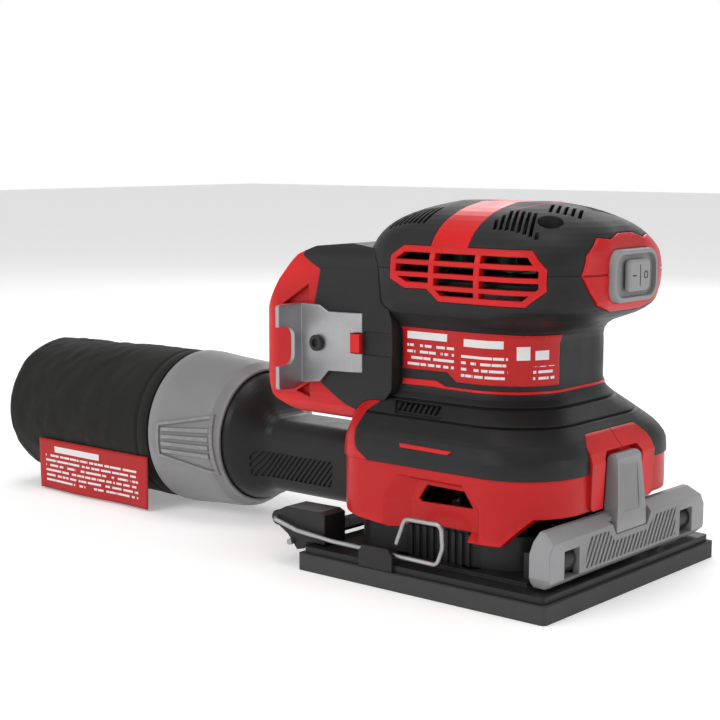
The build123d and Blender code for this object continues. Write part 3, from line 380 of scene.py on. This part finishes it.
def make_materials():
    """One material for each slot of the record."""
    tag_blocks = [(TAG_LOW.x + 0.004, TAG_HIGH.x - 0.006, 0.0035, 0.0160)]
    tag_boxes = [(TAG_LOW.x + 0.010, TAG_HIGH.x - 0.030, 0.0172, 0.0198)]
    return {
        "red_plastic": moulded("red_plastic", RED, 0.33, strength=0.10, vary=0.03),
        "black_grip": moulded("black_grip", BLACK, 0.46, grain=2600, strength=0.3, vary=0.06),
        "black_plastic": moulded("black_plastic", (0.0135, 0.0135, 0.014), 0.34, vary=0.06),
        "grey_plastic": moulded("grey_plastic", GREY, 0.40, vary=0.04),
        "grey_rubber": moulded("grey_rubber", (0.25, 0.25, 0.255), 0.52, vary=0.04),
        "steel": metal("steel", (0.40, 0.40, 0.41), 0.42, (1, 1, 14)),
        "black_steel": coated("black_steel", (0.02, 0.02, 0.02)),
        "cast_black": coated("cast_black", (0.015, 0.015, 0.0155)),
        "pad_foam": moulded("pad_foam", (0.036, 0.036, 0.037), 0.7, grain=1500, strength=0.5, depth=0.00006,
                            vary=0.05),
        "black_rubber": moulded("black_rubber", (0.018, 0.018, 0.018), 0.6),
        "armature_steel": metal("armature_steel", (0.35, 0.35, 0.36), 0.4, (1, 1, 90)),
        "magnet": coated("magnet", (0.06, 0.06, 0.065), 0.6),
        "copper": metal("copper", (0.75, 0.42, 0.24), 0.3, (1, 8, 1)),
        "board_green": moulded("board_green", (0.02, 0.12, 0.05), 0.35),
        "fabric_black": woven("fabric_black", (0.0085, 0.0082, 0.0074), 0.0009, BAG_AXIS_Z, BAG_RADIUS),
        "tag_red": printed("tag_red", (0.40, 0.008, 0.009), lambda tree, x, y: x,
                           tag_blocks, tag_boxes, 0.42),
        "lead_red": moulded("lead_red", (0.4, 0.02, 0.02), 0.4),
        "label_red": printed("label_red", (0.46, 0.008, 0.009), lambda tree, x, y: tree.math("ADD", x, y),
                             LABEL_BLOCKS, LABEL_BOXES, 0.30),
    }


def dress_nodes(materials):
    for entry in frame["record"]["subparts"]:
        node = NODES[entry["node"]]
        node.data.materials.clear()
        node.data.materials.append(materials[entry["material_slot"]])
    cap = NODES["head_cap"].data.materials
    cap.clear()
    cap.append(cap_material(BLACK))


# ---- Pieces ------------------------------------------------------------------------------------
def piece(name, mesh, body, material):
    """A smooth-shaded object from a bmesh, riding on a body."""
    data = bpy.data.meshes.new(name)
    bmesh.ops.recalc_face_normals(mesh, faces=mesh.faces)
    mesh.to_mesh(data)
    mesh.free()
    for polygon in data.polygons:
        polygon.use_smooth = True
    data.materials.append(material)
    thing = bpy.data.objects.new(name, data)
    bpy.context.scene.collection.objects.link(thing)
    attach(thing, body)
    return thing


def strip(mesh, rows, closed):
    """Faces between rows of vertices; closed rows run round."""
    for near, far in zip(rows, rows[1:]):
        count = len(near)
        for i in range(count if closed else count - 1):
            k = (i + 1) % count
            mesh.faces.new((near[i], near[k], far[k], far[i]))


NECK_RADIUS, HEM_LENGTH, END_ROUND, TAPER = 0.0297, 0.0065, 0.0050, 0.0011
FOLD_DEPTH, DENT_DEPTH, PUCKER_DEPTH = 0.0009, 0.0016, 0.0005
BAG_AROUND, BAG_STEPS, END_RINGS, ROUND_RINGS = 120, 64, 9, 6
END_HOLLOW, LEAST_RING = 0.0012, 0.0004
# How fast each kind of fold changes along the bag and round it; the slant runs the folds askew.
DENT_ALONG, DENT_ROUND = 30, 1.1
FOLD_ALONG, FOLD_SLANT, FOLD_ROUND = 95, 0.9, 2.6
PUCKER_ALONG, PUCKER_ROUND = 260, 8
DENT_OFFSET = Vector((3.1, 7.7, 1.3))


def bag_profile():
    """Down the bag as (x, radius, slack): mouth, hem, body, rim and end. Slack is how far folds show."""
    front, rear = BAG_HIGH.x, BAG_LOW.x
    mouth = [(0.006, NECK_RADIUS - 0.0001, 0), (0.001, NECK_RADIUS, 0), (0, BAG_RADIUS - 0.0008, 0),
             (0.0006, BAG_RADIUS - 0.0002, 0), (HEM_LENGTH - 0.0008, BAG_RADIUS - 0.0001, 0.1),
             (HEM_LENGTH, BAG_RADIUS - 0.0007, 0.1)]
    points = [(front - back, radius, slack) for back, radius, slack in mouth]
    start, stop = front - HEM_LENGTH - 0.0008, rear + END_ROUND
    for i in range(BAG_STEPS):
        part = i / (BAG_STEPS - 1)
        slack = min(1, 0.15 + 3 * part)
        points.append((start + (stop - start) * part, BAG_RADIUS - TAPER * part * part, slack))
    rim = BAG_RADIUS - TAPER - END_ROUND
    for i in range(1, ROUND_RINGS + 1):
        turn = i / ROUND_RINGS * math.pi / 2
        points.append((stop - END_ROUND * math.sin(turn), rim + END_ROUND * math.cos(turn), 0.8))
    for i in range(1, END_RINGS):
        points.append((rear + END_HOLLOW * (i / END_RINGS) ** 2, rim * (1 - i / END_RINGS), 0.3))
    return points


def cloth_sink(x, turn, slack):
    """How far the cloth falls inwards: broad dents, slanting folds and small puckers."""
    across, up = math.cos(turn), math.sin(turn)
    broad = Vector((x * DENT_ALONG, across * DENT_ROUND, up * DENT_ROUND))
    dent = max(0.0, noise.noise(broad + DENT_OFFSET)) * DENT_DEPTH
    slant = Vector((x * FOLD_ALONG + turn * FOLD_SLANT, across * FOLD_ROUND, up * FOLD_ROUND))
    fold = abs(noise.noise(slant)) * FOLD_DEPTH
    small = Vector((x * PUCKER_ALONG, across * PUCKER_ROUND, up * PUCKER_ROUND))
    pucker = noise.noise(small) * PUCKER_DEPTH * 0.5
    return slack * (dent + fold + pucker)


def make_bag(material):
    """The cloth bag: a closed shell that sinks a little between its stiff mouth and end."""
    mesh = bmesh.new()
    rows = []
    for x, radius, slack in bag_profile():
        row = []
        for i in range(BAG_AROUND):
            turn = 2 * math.pi * i / BAG_AROUND
            reach = max(radius - cloth_sink(x, turn, slack), LEAST_RING)
            row.append(mesh.verts.new((x, reach * math.cos(turn), BAG_AXIS_Z + reach * math.sin(turn))))
        rows.append(row)
    strip(mesh, rows, closed=True)
    mesh.faces.new(rows[-1])
    bag = piece("dust_bag_cloth", mesh, "dust_bag", material)
    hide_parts("bag_cloth")
    return bag


TAG_ROWS, TAG_COLUMNS, TAG_THICK = 14, 48, 0.0004
TAG_WAVE, WAVE_ALONG, WAVE_DOWN = 0.00045, 9, 1.2


def make_tag(material):
    """The tag sewn to the bag's side, hanging straight down with a slight ripple."""
    mesh = bmesh.new()
    width, height = TAG_HIGH.x - TAG_LOW.x, TAG_HIGH.z - TAG_LOW.z
    rows = []
    for j in range(TAG_ROWS + 1):
        drop = j / TAG_ROWS
        row = []
        for i in range(TAG_COLUMNS + 1):
            part = i / TAG_COLUMNS
            ripple = TAG_WAVE * drop * math.sin(WAVE_ALONG * part + WAVE_DOWN * drop)
            place = (TAG_LOW.x + width * part, TAG_LOW.y + TAG_THICK / 2 + ripple, TAG_HIGH.z - height * drop)
            row.append(mesh.verts.new(place))
        rows.append(row)
    strip(mesh, rows, closed=False)
    tag = piece("bag_tag_cloth", mesh, "dust_bag", material)
    thick = tag.modifiers.new("thickness", "SOLIDIFY")
    thick.thickness = TAG_THICK
    thick.offset = 0
    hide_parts("bag_tag")


MARK_Y, MARK_HALF, MARK_LINE, MARK_RAISE = 0.0036, 0.0011, 0.00022, 0.00012
MARK_ROOT, MARK_DRAW = 0.0003, 0.00006   # how deep a mark's foot sits, and how far its top draws in
LOOP_STEPS, MERGE_DISTANCE = 32, 1e-7


def bar(mesh, centre, half_y, half_z, front_x):
    """A thin raised bar on the rocker's front, with its edges drawn in."""
    rows = []
    foot, edge, top = front_x - MARK_ROOT, front_x + MARK_RAISE * 0.6, front_x + MARK_RAISE
    for x, draw in ((foot, 0), (edge, 0), (top, MARK_DRAW)):
        y, z = half_y - draw, half_z - draw
        rows.append([mesh.verts.new((x, centre[0] + a * y, centre[1] + b * z))
                     for a, b in ((-1, -1), (1, -1), (1, 1), (-1, 1))])
    strip(mesh, rows, closed=True)
    mesh.faces.new(rows[-1])
    mesh.faces.new(rows[0][::-1])


def loop(mesh, centre, radius, front_x):
    """A thin raised circle on the rocker's front."""
    rows = []
    foot, top = front_x - MARK_ROOT, front_x + MARK_RAISE
    for spread, x in ((-1, foot), (-0.8, top), (0.8, top), (1, foot), (-1, foot)):
        reach = radius + spread * MARK_LINE
        turns = [i * 2 * math.pi / LOOP_STEPS for i in range(LOOP_STEPS)]
        rows.append([mesh.verts.new((x, centre[0] + reach * math.cos(turn),
                                     centre[1] + reach * math.sin(turn))) for turn in turns])
    strip(mesh, rows, closed=True)
    bmesh.ops.remove_doubles(mesh, verts=mesh.verts, dist=MERGE_DISTANCE)


def make_marks():
    """The plain on and off marks of the rocker: a bar and a circle parted by a line."""
    low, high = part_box("switch_rocker")
    middle = (low.z + high.z) / 2
    mesh = bmesh.new()
    bar(mesh, (-MARK_Y, middle), MARK_HALF, MARK_LINE, high.x)
    bar(mesh, (0, middle), MARK_LINE * 0.8, (high.z - low.z) * 0.34, high.x)
    loop(mesh, (MARK_Y, middle), MARK_HALF, high.x)
    piece("rocker_marks", mesh, "rocker", moulded("mark_dark", (0.035, 0.035, 0.036), 0.5))


make_camera()
make_floor()
make_world()
make_lights()
MATERIALS = make_materials()
dress_nodes(MATERIALS)
BAG = make_bag(MATERIALS["fabric_black"])
make_tag(MATERIALS["tag_red"])
make_marks()
